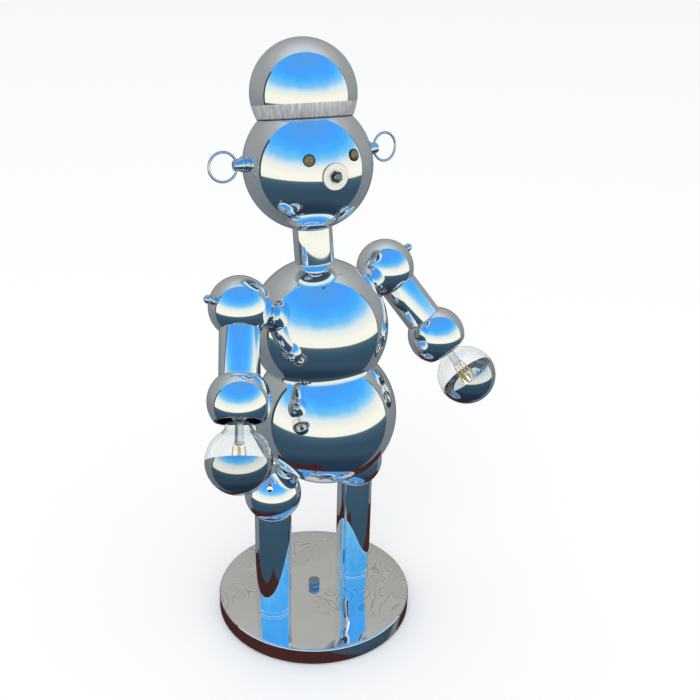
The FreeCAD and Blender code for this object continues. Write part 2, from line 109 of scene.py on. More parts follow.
def finish_piece(name, mesh, body, material, replaced=(), sharp=35):
    mesh.polygons.foreach_set("use_smooth", [True] * len(mesh.polygons))
    mesh.set_sharp_from_angle(angle=math.radians(sharp))
    piece = bpy.data.objects.new(name, mesh)
    bpy.context.scene.collection.objects.link(piece)
    piece.data.materials.append(material)
    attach(piece, body)
    if replaced:
        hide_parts(*replaced)
    return piece


def turned_mesh(name, section, origin, axis, around=144, closed=False, wave=None):
    """Turn a half section about an axis. wave(angle, radius, height) may push a point in or out."""
    build = bmesh.new()
    rings = []
    for radius, height in section:
        if radius < 1e-7:
            rings.append([build.verts.new((0, 0, height))])
            continue
        ring = []
        for step in range(around):
            angle = 2 * math.pi * step / around
            reach = radius + (wave(angle, radius, height) if wave else 0)
            ring.append(build.verts.new((reach * math.cos(angle), reach * math.sin(angle), height)))
        rings.append(ring)
    pairs = list(zip(rings, rings[1:])) + ([(rings[-1], rings[0])] if closed else [])
    for low, high in pairs:
        for step in range(around):
            after = (step + 1) % around
            if len(low) == 1 and len(high) == 1:
                continue
            if len(low) == 1:
                build.faces.new((low[0], high[after], high[step]))
            elif len(high) == 1:
                build.faces.new((low[step], low[after], high[0]))
            else:
                build.faces.new((low[step], low[after], high[after], high[step]))
    bmesh.ops.recalc_face_normals(build, faces=build.faces)
    mesh = bpy.data.meshes.new(name)
    build.to_mesh(mesh)
    build.free()
    mesh.transform(Matrix.Translation(origin) @ square_to(axis))
    return mesh


def turned(name, section, origin, axis, body, material, replaced=(), **how):
    sharp = how.pop("sharp", 35)
    return finish_piece(name, turned_mesh(name, section, origin, axis, **how), body, material, replaced, sharp)


def joined(name, meshes, body, material, replaced=(), sharp=35):
    """Several turned meshes made into one piece."""
    build = bmesh.new()
    for part in meshes:
        build.from_mesh(part)
    mesh = bpy.data.meshes.new(name)
    build.to_mesh(mesh)
    build.free()
    return finish_piece(name, mesh, body, material, replaced, sharp)


print("lathe ready")

# %% [markdown]
# ## Building blocks for the finishes
# Every finish here is worked out from noise in the piece's own space, so that nothing repeats and no
# picture is needed. Short helpers add the noise, turn it into a tone, a roughness or a bump, and do sums.
# With them each finish below reads as a list of what the surface has on it.

# %% Material helpers
def colour(red, green, blue, alpha=1.0):
    """An sRGB colour, 0 to 255, as the linear values that Blender's sockets take."""
    linear = []
    for value in (red, green, blue):
        value = value / 255
        linear.append(value / 12.92 if value <= 0.04045 else ((value + 0.055) / 1.055) ** 2.4)
    return (*linear, alpha)


def new_material(name):
    material = bpy.data.materials.new(name)
    material.use_nodes = True
    return material, material.node_tree.nodes["Principled BSDF"]


def add(material, kind, operation=None, **values):
    """A new shader node; each value goes to the input of that name, with underscores for its spaces."""
    node = material.node_tree.nodes.new("ShaderNode" + kind)
    if operation:
        node.operation = operation
    for name, value in values.items():
        node.inputs[name.replace("_", " ").title()].default_value = value
    return node


def feed(material, source, node, socket):
    material.node_tree.links.new(source, node.inputs[socket])


def object_place(material):
    """Coordinates in the piece's own space."""
    nodes = material.node_tree.nodes
    return (nodes.get("Texture Coordinate") or nodes.new("ShaderNodeTexCoord")).outputs["Object"]


def noise(material, scale, vector=None, **values):
    node = add(material, "TexNoise", scale=scale, **values)
    feed(material, vector or object_place(material), node, "Vector")
    return node.outputs["Fac"]


def bumped(material, height, strength, distance, under=None):
    """The normal of a surface that rises and falls with height, over another bump if there is one."""
    node = add(material, "Bump", strength=strength, distance=distance)
    feed(material, height, node, "Height")
    if under:
        feed(material, under, node, "Normal")
    return node.outputs["Normal"]


def mapped(material, source, **limits):
    node = add(material, "MapRange", **limits)
    feed(material, source, node, "Value")
    return node.outputs["Result"]


def ramp(material, source, stops):
    """A run of colours; stops are (position, sRGB colour) pairs from low to high."""
    node = add(material, "ValToRGB")
    feed(material, source, node, "Fac")
    elements = node.color_ramp.elements
    for element, (position, tint) in zip(elements, (stops[0], stops[-1])):
        element.position = position
        element.color = colour(*tint)
    for position, tint in stops[1:-1]:
        elements.new(position).color = colour(*tint)
    return node.outputs["Color"]


def calculate(material, operation, *terms):
    """A sum; the terms are sockets or plain numbers."""
    node = add(material, "Math", operation)
    for number, term in enumerate(terms):
        if isinstance(term, (int, float)):
            node.inputs[number].default_value = term
        else:
            feed(material, term, node, number)
    return node.outputs[0]


def blend_colours(material, factor, first, second):
    node = add(material, "Mix")
    node.data_type = "RGBA"
    feed(material, factor, node, "Factor")
    for socket, term in ((6, first), (7, second)):
        if isinstance(term, tuple):
            node.inputs[socket].default_value = term
        else:
            feed(material, term, node, socket)
    return node.outputs[2]


def along(material, vector, way):
    """How far a vector reaches along a fixed way."""
    node = add(material, "VectorMath", "DOT_PRODUCT")
    node.inputs[1].default_value = way
    feed(material, vector, node, 0)
    return node.outputs["Value"]


print("helpers ready")

# %% [markdown]
# ## Polished chrome
# Chrome plate is a near perfect mirror with a faint cool tint. What makes it read as a real thing is what
# sits on it: a breath of haze and wiping marks that change the roughness a little, and a slow waviness of
# the spun sheet under the plate, too weak to see on its own, that bends the edges of what it mirrors.

# %% Chrome material
def chrome(name, tint=(240, 243, 246), haze=0.02, waviness=0.05, wave_scale=14.0):
    material, shader = new_material(name)
    shader.inputs["Base Color"].default_value = colour(*tint)
    shader.inputs["Metallic"].default_value = 1.0
    wiping = noise(material, 38.0, detail=6.0, distortion=1.2)
    roughness = mapped(material, wiping, from_min=0.42, from_max=0.75, to_min=haze, to_max=haze + 0.05)
    sheet = noise(material, wave_scale, detail=2.0)
    feed(material, roughness, shader, "Roughness")
    feed(material, bumped(material, sheet, waviness, 0.004), shader, "Normal")
    return material


ball_chrome = chrome("ball_chrome")
tube_chrome = chrome("tube_chrome", waviness=0.03, wave_scale=9.0)
trim_chrome = chrome("trim_chrome", tint=(214, 219, 224), haze=0.06, waviness=0.0)
dull_steel = chrome("dull_steel", tint=(158, 166, 174), haze=0.12, waviness=0.0)
print("chrome", ball_chrome.name, tube_chrome.name, trim_chrome.name)

# %% [markdown]
# ## The base
# The base is a shallow pan spun from sheet and turned over a weight. Its top is a mirror that isn't quite
# flat: the legs and the ball above shiver in it. The waves are a bump of two sizes, long ones from spinning
# and short crinkles from polishing. Fine darker lines run over parts of it like the lines of a map: they
# are the steps of a slow noise, a painted reflection mixed into the plate's colour. The rim keeps a small round.

# %% Base pan
def wavy_mirror():
    plain = (246, 244, 241)
    material = chrome("base_mirror", tint=plain, haze=0.03, waviness=0.0)
    shader = material.node_tree.nodes["Principled BSDF"]
    long_wave = bumped(material, noise(material, 34.0, detail=0.0), 0.22, 0.004)
    crinkle = noise(material, 70.0, detail=1.0, distortion=0.8)
    feed(material, bumped(material, crinkle, 0.06, 0.001, long_wave), shader, "Normal")
    # Painted reflection: darker wavy lines, the steps of a slow noise, are mixed into the mirror's colour in
    # patches.
    contour = noise(material, 13.0, detail=2.0, roughness=0.35, distortion=0.5)
    fold = calculate(material, "PINGPONG", contour, 0.0125)
    line = mapped(material, fold, from_max=0.005, to_min=1.0, to_max=0.0)
    patch = mapped(material, noise(material, 15.0, detail=0.0), from_min=0.47, from_max=0.60, to_max=0.75)
    darker = calculate(material, "MULTIPLY", line, patch)
    tone = blend_colours(material, darker, colour(*plain), colour(186, 184, 181))
    feed(material, tone, shader, "Base Color")
    return material


base_mirror = wavy_mirror()
FELT_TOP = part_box("base_felt")[1][2]
PAN_WALL = 0.002
EDGE = 0.002
FOOT_EDGE = 0.0006
SHAFT_HOLE = 0.0035
pan_section = [(SHAFT_HOLE, BASE_TOP)]
pan_section += [(reach, BASE_TOP) for reach in (0.01, 0.03, 0.06, 0.09)]
pan_section += arc(BASE_RADIUS - EDGE, BASE_TOP - EDGE, EDGE, 90, 0)
pan_section += arc(BASE_RADIUS - FOOT_EDGE, FELT_TOP + FOOT_EDGE, FOOT_EDGE, 0, -90, 4)
pan_section += [(BASE_RADIUS - PAN_WALL, FELT_TOP), (BASE_RADIUS - PAN_WALL, BASE_TOP - PAN_WALL)]
pan_section += [(SHAFT_HOLE, BASE_TOP - PAN_WALL)]
turned("base_pan_skin", pan_section, FLOOR, UP, "stand", base_mirror, ["base_pan"], around=256, closed=True)
print("pan points", len(pan_section))

# %% [markdown]
# ## Felt under the base
# A disc of black felt keeps the pan off the desk. Only its edge shows. Felt has no weave: it is matted
# fibre, so fine noise moves both its colour and a bump, and a little sheen stands for the loose hairs.

# %% Felt
def felt():
    material, shader = new_material("black_felt")
    fibre = noise(material, 900.0, detail=8.0)
    shader.inputs["Roughness"].default_value = 0.95
    shader.inputs["Sheen Weight"].default_value = 0.4
    feed(material, ramp(material, fibre, [(0, (14, 14, 15)), (1, (44, 43, 42))]), shader, "Base Color")
    feed(material, bumped(material, fibre, 0.7, 0.0004), shader, "Normal")
    return material


black_felt = felt()
felt_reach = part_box("base_felt")[1][0]
FELT_EDGE = 0.0005
felt_section = [(0, 0)] + arc(felt_reach - FELT_EDGE, FELT_EDGE, FELT_EDGE, -90, 0, 4)
felt_section += arc(felt_reach - FELT_EDGE, FELT_TOP - FELT_EDGE, FELT_EDGE, 0, 90, 4) + [(0, FELT_TOP)]
turned("felt_disc", felt_section, FLOOR, UP, "stand", black_felt, ["base_felt"], around=192)
print("felt reach", round(felt_reach, 4))

# %% [markdown]
# ## The knob on the base
# A small knob stands in the middle of the base, on the shaft of the switch. Its grip is knurled so that a
# fingertip turns it. The flutes are cut into the turned shape by moving each point in with the angle, and
# they run out just below the round at the top.

# %% Base knob
KNOB_LOW, KNOB_HIGH = (corner[2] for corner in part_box("base_switch_knob"))
KNOB_FOOT = BASE_TOP + 0.0003
KNOB_RADIUS = 0.0061
FLUTES = 18


def flutes(angle, radius, height):
    if radius < KNOB_RADIUS * 0.93 or height < KNOB_FOOT + 0.0008 or height > KNOB_HIGH - 0.0012:
        return 0
    return -0.00028 * (0.5 + 0.5 * math.cos(angle * FLUTES))


knob_section = [(0, KNOB_LOW), (0.002, KNOB_LOW), (0.002, KNOB_FOOT), (KNOB_RADIUS - 0.0004, KNOB_FOOT)]
knob_section += [(KNOB_RADIUS, KNOB_FOOT + 0.0004), (KNOB_RADIUS, KNOB_FOOT + 0.0009)]
knob_section += [(KNOB_RADIUS, KNOB_HIGH - 0.0013)]
knob_section += arc(KNOB_RADIUS - 0.001, KNOB_HIGH - 0.001, 0.001, 0, 90, 5)
knob_section += [(0.003, KNOB_HIGH - 0.0001), (0, KNOB_HIGH - 0.0003)]
turned("switch_knob_grip", knob_section, FLOOR, UP, "base_knob", dull_steel, ["base_switch_knob"], around=216,
       wave=flutes, sharp=50)
print("knob height", round(KNOB_HIGH - KNOB_FOOT, 4))

# %% [markdown]
# ## Legs
# Each leg is a length of tube that stands on the pan and ends against a flat on the hip ball. The tube's
# ends have a small round, and a fine groove is turned just above the foot. Groove, foot and their
# reflections in the base draw the double rings at the bottom of each leg.

# %% Leg tubes and hip balls
TUBE_WALL = 0.0016
PIPE_HOLE = 0.0055
SEAT_EDGE = 0.0006


def tube_section(radius, wall, low, high, lip=0.0005):
    outside = arc(radius - lip, low + lip, lip, -90, 0, 4) + arc(radius - lip, high - lip, lip, 0, 90, 4)
    return outside + [(radius - wall, high), (radius - wall, low)]


def flat_at(ball_radius, tube_radius):
    """Distance from a ball's middle to the flat that a tube of that radius stands on."""
    return math.sqrt(ball_radius ** 2 - tube_radius ** 2)


HIP_FLAT = flat_at(HIP_RADIUS, TUBE_RADIUS)
GROOVE = ((0, 0.0036), (0.0004, 0.0038), (0.0004, 0.0043), (0, 0.0045))
for side, way in SIDES.items():
    foot = Vector((way * LEG_SPREAD, 0, BASE_TOP))
    length = HIP_HEIGHT - HIP_FLAT - BASE_TOP
    section = tube_section(TUBE_RADIUS, TUBE_WALL, 0, length)
    groove = [(TUBE_RADIUS - depth, height) for depth, height in GROOVE]
    section = section[:5] + groove + section[5:]
    turned(f"leg_tube_{side}_skin", section, foot, UP, "stand", tube_chrome, [f"leg_tube_{side}"], closed=True)
    hip = Vector((way * LEG_SPREAD, 0, HIP_HEIGHT))
    low = -math.degrees(math.acos(TUBE_RADIUS / HIP_RADIUS))
    section = [(PIPE_HOLE, -HIP_FLAT), (TUBE_RADIUS - SEAT_EDGE, -HIP_FLAT)]
    section += arc(0, 0, HIP_RADIUS, low + 1.5, 90, 56)
    turned(f"hip_ball_{side}_skin", section, hip, UP, "stand", ball_chrome, [f"hip_ball_{side}"])
print("hip flat", round(HIP_FLAT, 4))

# %% [markdown]
# ## Belly, chest and neck
# The trunk is two large balls on the spine. The chest is open below and sits on the crown of the belly, so
# its section starts at the seam, where both spheres have the same radius. A short tube between the chest
# and the head is the neck; each end meets its ball where the ball is as wide as the tube.

# %% Trunk
spacing = (CHEST - BELLY).length
seam_height = (BELLY_RADIUS ** 2 - CHEST_RADIUS ** 2 + spacing ** 2) / (2 * spacing) - spacing
seam_angle = math.degrees(math.asin(seam_height / CHEST_RADIUS))
hole_angle = 90 - math.degrees(math.asin(0.0052 / CHEST_RADIUS))
turned("belly_ball", arc(0, 0, BELLY_RADIUS, -90, 90, 120), BELLY, SPINE, "stand", ball_chrome,
       ["belly_shell"], around=192)
chest_section = arc(0, 0, CHEST_RADIUS, seam_angle + 0.5, hole_angle, 110)
lip = chest_section[0]
chest_section.insert(0, (lip[0] - 0.0012, lip[1] - 0.0004))
turned("chest_ball", chest_section, CHEST, SPINE, "stand", ball_chrome, ["chest_shell"], around=192)
NECK_REACH = (HEAD - CHEST).length
neck_low = flat_at(CHEST_RADIUS, TUBE_RADIUS)
neck_high = NECK_REACH - flat_at(HEAD_RADIUS + 0.0003, TUBE_RADIUS)
neck_section = tube_section(TUBE_RADIUS, TUBE_WALL, neck_low, neck_high, SEAT_EDGE)
turned("neck_tube_skin", neck_section, CHEST, SPINE, "stand", tube_chrome, ["neck_tube"], closed=True)
print("seam angle", round(seam_angle, 2), "neck", round(neck_low, 4), round(neck_high, 4))

# %% [markdown]
# ## Arms
# An arm is a ball that turns on the shoulder bolt, a tube, and an open ball, the hand, that holds the lamp.
# The arm's direction lies square to the shoulder's bolt, so it is found from the places of the solids: it
# is the way from the middle of the shoulder ball to the middle of the arm tube, less what lies along the
# bolt.

# %% Arm directions
def middle(node):
    low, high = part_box(node)
    return Vector([(a + b) / 2 for a, b in zip(low, high)])


arms = {}
for side in SIDES:
    joint = joints[f"arm_swing_{side}"]
    shoulder = Vector(joint["pos_m"])
    bolt = Vector(joint["axis"]).normalized()
    if bolt.z < 0:
        bolt = -bolt
    tube_way = middle(f"arm_tube_{side}") - shoulder
    arms[side] = (shoulder, bolt, (tube_way - bolt * tube_way.dot(bolt)).normalized())
    print(side, "arm along", [round(v, 4) for v in arms[side][2]])

# %% [markdown]
# ## Shoulder balls, arm tubes and hands
# The hand is a thin shell: its mouth shows a dark edge, the wall's thickness and the inside of the ball, so
# its section runs down the outside, round the lip and back up the inside. The dark plated inside keeps the
# mouth deep, as in a real spun ball, where the plate never covers the inside well.

# %% Arm skins
inside_metal = chrome("inside_metal", tint=(140, 146, 150), haze=0.3, waviness=0.0)
BALL_WALL = 0.002
MOUTH = 0.0186
ARM_FLAT = flat_at(BALL_RADIUS, TUBE_RADIUS)
for side, (shoulder, bolt, way) in arms.items():
    body = f"arm_{side}"
    high = 90 - math.degrees(math.acos(ARM_FLAT / BALL_RADIUS))
    section = arc(0, 0, BALL_RADIUS, -90, high - 1.5, 60)
    section += [(TUBE_RADIUS - SEAT_EDGE, ARM_FLAT), (PIPE_HOLE, ARM_FLAT)]
    turned(f"shoulder_ball_{side}_skin", section, shoulder, way, body, ball_chrome, [f"shoulder_ball_{side}"])
    section = tube_section(TUBE_RADIUS, TUBE_WALL, ARM_FLAT, ARM_REACH - ARM_FLAT)
    turned(f"arm_tube_{side}_skin", section, shoulder, way, body, tube_chrome, [f"arm_tube_{side}"],
           closed=True)
    hand = shoulder + way * ARM_REACH
    lip_angle = math.degrees(math.asin(MOUTH / BALL_RADIUS)) - 0.6
    outside = [(PIPE_HOLE, -ARM_FLAT), (TUBE_RADIUS - SEAT_EDGE, -ARM_FLAT)]
    outside += arc(0, 0, BALL_RADIUS, -high + 1.5, lip_angle, 50)
    turned(f"hand_ball_{side}_skin", outside, hand, way, body, ball_chrome, [f"hand_ball_{side}"])
    lip_radius = BALL_RADIUS * math.cos(math.radians(lip_angle))
    lip_height = BALL_RADIUS * math.sin(math.radians(lip_angle))
    inner = BALL_RADIUS - BALL_WALL
    inner_angle = math.degrees(math.asin(MOUTH / inner))
    rim = [(lip_radius, lip_height), (lip_radius - 0.0003, MOUTH)]
    inside = [(inner * math.cos(math.radians(inner_angle)), MOUTH)]
    inside += arc(0, 0, inner, inner_angle - 1, -46, 30) + [(PIPE_HOLE, -0.0193)]
    turned(f"hand_rim_{side}", rim + inside, hand, way, body, inside_metal)
print("arm flat", round(ARM_FLAT, 4))

# %% [markdown]
# ## Bulbs
# The lamps are globe bulbs whose lower half is silvered, so the light goes up into the hand and no glare
# comes out. The glass is one blown piece: a neck that flares into a ball. It is a closed thin wall, because
# glass with no thickness would bend light like a solid marble. The silvering lies on the outer half as its
# own skin.

# %% Bulb glass and silver
def glass(name, tint, roughness=0.0):
    material, shader = new_material(name)
    shader.inputs["Base Color"].default_value = colour(*tint)
    shader.inputs["Transmission Weight"].default_value = 1.0
    shader.inputs["Roughness"].default_value = roughness
    shader.inputs["IOR"].default_value = 1.46
    feed(material, bumped(material, noise(material, 30.0, detail=1.0), 0.04, 0.002), shader, "Normal")
    return material


clear_glass = glass("clear_glass", (250, 252, 252))
bulb_silver = chrome("bulb_silver", tint=(214, 219, 222), haze=0.01, waviness=0.04, wave_scale=22.0)
NECK = 0.0126
NECK_LENGTH = 0.0145
GLASS_WALL = 0.0009
neck_back = flat_at(BULB_RADIUS, NECK)


def bend(start, control, end, steps=14):
    """A smooth curve in the half section from start to end, pulled towards control."""
    points = []
    for step in range(1, steps + 1):
        part = step / steps
        weights = ((1 - part) ** 2, 2 * part * (1 - part), part ** 2)
        pulls = list(zip(weights, (start, control, end)))
        points.append(tuple(sum(weight * point[axis] for weight, point in pulls) for axis in (0, 1)))
    return points


def moved_in(section, wall):
    """The same half section moved towards its inside by the wall."""
    moved = []
    for number, (radius, height) in enumerate(section):
        before = section[max(number - 1, 0)]
        after = section[min(number + 1, len(section) - 1)]
        heading = Vector((after[0] - before[0], after[1] - before[1])).normalized()
        moved.append((max(radius - heading.y * wall, 0), height + heading.x * wall))
    return moved


meeting = -54
joining = (BULB_RADIUS * math.cos(math.radians(meeting)), BULB_RADIUS * math.sin(math.radians(meeting)))
pull = (NECK, joining[1] - (joining[0] - NECK) * math.tan(math.radians(90 + meeting)))
for side, (shoulder, bolt, way) in arms.items():
    bulb = shoulder + way * (ARM_REACH + BULB_REACH)
    body = f"arm_{side}"
    outer = [(NECK, -neck_back - NECK_LENGTH), (NECK, -neck_back - 0.008), (NECK, pull[1] - 0.0037)]
    outer += bend(outer[-1], pull, joining)
    outer += arc(0, 0, BULB_RADIUS, meeting + 1.5, 90, 90)
    inner = moved_in(outer, GLASS_WALL)
    inner[-1] = (0, inner[-1][1])
    turned(f"bulb_globe_{side}", outer + inner[::-1], bulb, way, body, clear_glass, [f"bulb_glass_{side}"],
           around=160, closed=True)
    silver = arc(0, 0, BULB_RADIUS + 0.00028, 0.0, 90, 60)
    shrink = 1 - 0.00018 / BULB_RADIUS
    under = [(radius * shrink, height * shrink) for radius, height in silver]
    turned(f"bulb_bowl_{side}", silver + under[::-1], bulb, way, body, bulb_silver, [f"bulb_silver_{side}"],
           around=160, closed=True)
print("bulb neck bend", round(pull[1], 4))

# %% [markdown]
# ## Inside the bulb
# A glass stem rises from the neck and carries thin rods coated in yellow phosphor: the light emitting
# filaments. Each has bright metal ends and a hair of wire back to the stem. The coating is slightly waxy,
# and a weak emission paints a faint glow on it, though the lamp is off.

# %% Stem and filaments
def phosphor():
    material, shader = new_material("filament_phosphor")
    shader.inputs["Roughness"].default_value = 0.45
    # Painted glow: a weak emission on the coating, though the lamp is off.
    shader.inputs["Emission Color"].default_value = colour(250, 190, 60)
    shader.inputs["Emission Strength"].default_value = 0.18
    tone = ramp(material, noise(material, 1400.0), [(0, (226, 186, 84)), (1, (246, 220, 136))])
    feed(material, tone, shader, "Base Color")
    return material


filament_phosphor = phosphor()
support_wire = chrome("support_wire", tint=(190, 186, 178), haze=0.2, waviness=0.0)
frosted_stem = glass("frosted_stem", (236, 242, 244), 0.35)
STEM = 0.0040
PIN = 0.00028
FERRULE = 0.0005
cap_end = BULB_REACH - neck_back - NECK_LENGTH
for side, (shoulder, bolt, way) in arms.items():
    body = f"arm_{side}"
    foot = shoulder + way * (ARM_REACH + cap_end + 0.0003)
    length = BULB_REACH - cap_end - 0.0145
    inside_neck = NECK - GLASS_WALL
    stem = [(0, 0), (inside_neck - 0.0002, 0), (inside_neck - 0.0004, 0.0008), (0.007, 0.003), (STEM, 0.0055)]
    stem += [(STEM, length - 0.004), (STEM + 0.0004, length - 0.002)]
    stem += arc(STEM - 0.001, length - 0.001, 0.001, 0, 90, 4) + [(0, length)]
    turned(f"bulb_stem_{side}_skin", stem, foot, way, body, frosted_stem, [f"bulb_stem_{side}"], around=48)
    tip = foot + way * length
    across = way.cross(bolt).normalized()
    coats = []
    wires = []
    for number in range(4):
        out = Matrix.Rotation(math.radians(90 * number + 45), 4, way) @ across
        start = tip - way * 0.0022 + out * 0.0049
        lean = (way * 24 + out * 2.4).normalized()
        coat = [(0, 0.0036)] + arc(0.0004, 0.0039, 0.00035, -90, 0, 3)
        coat += arc(0.0004, 0.0215, 0.00035, 0, 90, 3) + [(0, 0.0219)]
        near_end = [(0, 0), (PIN, 0), (PIN, 0.003), (FERRULE, 0.0031), (FERRULE, 0.0038), (0, 0.0038)]
        far_end = [(0, 0.0217), (FERRULE, 0.0217), (FERRULE, 0.0225), (PIN, 0.0226), (PIN, 0.024), (0, 0.024)]
        coats.append(turned_mesh("coat", coat, start, lean, around=20))
        wires.append(turned_mesh("end", near_end, start, lean, around=12))
        wires.append(turned_mesh("end", far_end, start, lean, around=12))
        inward = tip - way * 0.0028 - start
        lead = [(0, 0), (0.00022, 0), (0.00022, inward.length), (0, inward.length)]
        wires.append(turned_mesh("lead", lead, start, inward, around=8))
    joined(f"filaments_{side}", coats, body, filament_phosphor, [f"bulb_filaments_{side}"])
    joined(f"filament_wires_{side}", wires, body, support_wire)
print("stem length", round(length, 4))

# %% [markdown]
# ## Shoulder finials
# A small turned knob closes the outer end of each shoulder bolt: a foot, a waist and a ball, all in one
# piece.

# %% Finials
finials = []
FINIAL = 0.0040
for shoulder, bolt, way in arms.values():
    foot = shoulder + bolt * (BALL_RADIUS + 0.0003)
    section = [(0, 0), (FINIAL - 0.0004, 0), (FINIAL, 0.0004), (FINIAL, 0.0008)]
    section += [(0.0031, 0.0018), (0.0029, 0.0026)] + arc(FINIAL - 0.0004, 0.0034, 0.0004, -90, 0, 4)
    section += arc(0, 0.003 + FINIAL * 0.8, FINIAL, 0, 90, 20)
    finials.append(turned_mesh("finial", section, foot, bolt, around=64))
joined("shoulder_finials_skin", finials, "stand", trim_chrome, ["shoulder_finials"])
print("finials", len(finials))

# %% [markdown]
# ## Head and cap
# The head is a ball, and the cap a smaller ball cut open and set over its crown. Round the foot of the cap
# runs a band that is brushed instead of polished. The brushing is a finish, not a part: the material finds
# how high a point lies along the cap's axis and, inside the band, mixes in upright scratches with a duller,
# whiter metal. The band's foot is painted darker, a painted shadow of the narrow gap above the head.

# %% Head turned ball
HEAD_TURN = math.radians(-14)
FRONT = Vector((0, -1, 0))
AHEAD = Matrix.Rotation(HEAD_TURN, 3, SPINE) @ (FRONT - SPINE * SPINE.dot(FRONT)).normalized()
ACROSS = AHEAD.cross(SPINE).normalized() * -1


def head_way(turn, lift):
    """A direction out of the head: degrees turned from straight ahead to the figure's left, then lifted."""
    turn = math.radians(turn)
    lift = math.radians(lift)
    level = AHEAD * math.cos(turn) + ACROSS * math.sin(turn)
    return level * math.cos(lift) + SPINE * math.sin(lift)


CAP_AXIS = head_way(153.0, 90 - 5.7)
turned("head_ball", arc(0, 0, HEAD_RADIUS, -84.9, 90, 120), HEAD, SPINE, "head", ball_chrome, ["head_shell"],
       around=192)


def brushed_band(low, high):
    material = chrome("cap_chrome", waviness=0.04)
    mirror = material.node_tree.nodes["Principled BSDF"]
    dull = add(material, "BsdfPrincipled", metallic=0.45)
    place = object_place(material)
    height = along(material, place, CAP_AXIS)
    level = HEAD.dot(CAP_AXIS)
    inside = calculate(material, "MULTIPLY", calculate(material, "GREATER_THAN", height, level + low),
                       calculate(material, "LESS_THAN", height, level + high))
    flatten = add(material, "VectorMath", "MULTIPLY")
    flatten.inputs[1].default_value = (1.0, 1.0, 0.03)
    feed(material, place, flatten, 0)
    scratches = noise(material, 640.0, flatten.outputs["Vector"], detail=5.0, roughness=0.75)
    shade = ramp(material, scratches, [(0.34, (160, 160, 160)), (0.62, (226, 225, 222))])
    # Painted shadow: the band's colour darkens towards its foot, for the narrow gap above the head.
    foot = mapped(material, height, from_min=level + low + 0.0012, from_max=level + low + 0.0024, to_min=0.12)
    darker = add(material, "VectorMath", "SCALE")
    feed(material, shade, darker, 0)
    feed(material, foot, darker, "Scale")
    feed(material, darker.outputs["Vector"], dull, "Base Color")
    feed(material, mapped(material, scratches, to_min=0.30, to_max=0.52), dull, "Roughness")
    feed(material, bumped(material, scratches, 0.35, 0.0003), dull, "Normal")
    mix = add(material, "MixShader")
    feed(material, inside, mix, 0)
    feed(material, mirror.outputs["BSDF"], mix, 1)
    feed(material, dull.outputs["BSDF"], mix, 2)
    feed(material, mix.outputs["Shader"], material.node_tree.nodes["Material Output"], "Surface")
    return material


CAP_SEAT = 0.0425
BAND_TOP = 0.0556
cap_chrome = brushed_band(CAP_SEAT - 0.001, BAND_TOP)
cap_rim = CAP_SEAT - CAP_REACH
cap_angle = math.degrees(math.asin(cap_rim / CAP_RADIUS))
rim_reach = CAP_RADIUS * math.cos(math.radians(cap_angle))
cap_section = [(rim_reach - 0.0012, cap_rim), (rim_reach - 0.0003, cap_rim)]
cap_section += arc(0, 0, CAP_RADIUS, cap_angle + 0.5, 90, 110)
turned("cap_ball", cap_section, HEAD + CAP_AXIS * CAP_REACH, CAP_AXIS, "head", cap_chrome, ["cap_shell"],
       around=192)
print("cap rim", round(cap_rim, 4))

# %% [markdown]
# ## Eyes
# Each eye is a jewel of olive amber glass held in a dark turned rim. The jewel is a domed piece that
# swallows most of the light, so its material is a deep mottled body under a clear gloss coat, instead of
# clear glass.

# %% Eyes
def jewel():
    material, shader = new_material("amber_jewel")
    shader.inputs["Roughness"].default_value = 0.12
    shader.inputs["Coat Weight"].default_value = 1.0
    shader.inputs["Coat Roughness"].default_value = 0.02
    tone = ramp(material, noise(material, 260.0, detail=4.0), [(0, (62, 54, 18)), (1, (150, 132, 56))])
    feed(material, tone, shader, "Base Color")
    return material


amber_jewel = jewel()
dark_rim = chrome("dark_rim", tint=(70, 74, 78), haze=0.12, waviness=0.0)
JEWEL = 0.0043
EYE_WIRE = 0.0006
rims = []
jewels = []
for way in SIDES.values():
    out = head_way(way * 21.2, 12.0)
    seat = HEAD + out * HEAD_RADIUS
    inner = JEWEL + 0.0001
    rim = [(inner, -0.0001)] + arc(inner + EYE_WIRE, 0.0004, EYE_WIRE, 180, 0, 16)
    rim.append((inner + EYE_WIRE * 2, -0.0005))
    rims.append(turned_mesh("rim", rim, seat, out, around=72))
    jewels.append(turned_mesh("jewel", arc(0, 0, JEWEL, -10, 90, 24), seat - out * 0.0008, out, around=72))
joined("eye_rims_skin", rims, "head", dark_rim, ["eye_rims"])
joined("eye_jewels_skin", jewels, "head", amber_jewel, ["eye_jewels"])
print("eye at", [round(v, 4) for v in seat])

# %% [markdown]
# ## Nose
# The nose is a push switch: a bright plate, a hexagon nut with chamfered corners, the threaded bushing
# and a small plunger. A thin dark ring round the plate's edge is painted shade, for the shadow line round
# the plate. The thread is a row of fine grooves, because at this size its pitch can't be told from rings.
# The nut is built ring by ring, with six flats cut from the turned blank.

# %% Nose switch
def hexagon_wave(across_flats):
    def push(angle, radius, height):
        if radius < across_flats * 0.75:
            return 0
        turn = (angle + math.pi / 6) % (math.pi / 3) - math.pi / 6
        return min(0, across_flats / math.cos(turn) - radius)
    return push


NOSE = head_way(0, -3.0)
nose_seat = HEAD + NOSE * (HEAD_RADIUS - 0.00002)
PLATE = 0.0122
plate = [(0.0032, 0.0001), (0.0032, 0.0013), (PLATE - 0.0005, 0.0013)]
plate += arc(PLATE - 0.0004, 0.0009, 0.0004, 90, 0, 4)
plate += [(PLATE, 0.0003), (PLATE - 0.0003, 0.0), (0.006, -0.0001)]
plate_satin = chrome("plate_satin", tint=(240, 237, 228), haze=0.3, waviness=0.0)
plate_satin.node_tree.nodes["Principled BSDF"].inputs["Metallic"].default_value = 0.4
turned("nose_plate_skin", plate, nose_seat, NOSE, "head", plate_satin, ["nose_plate"], around=120)
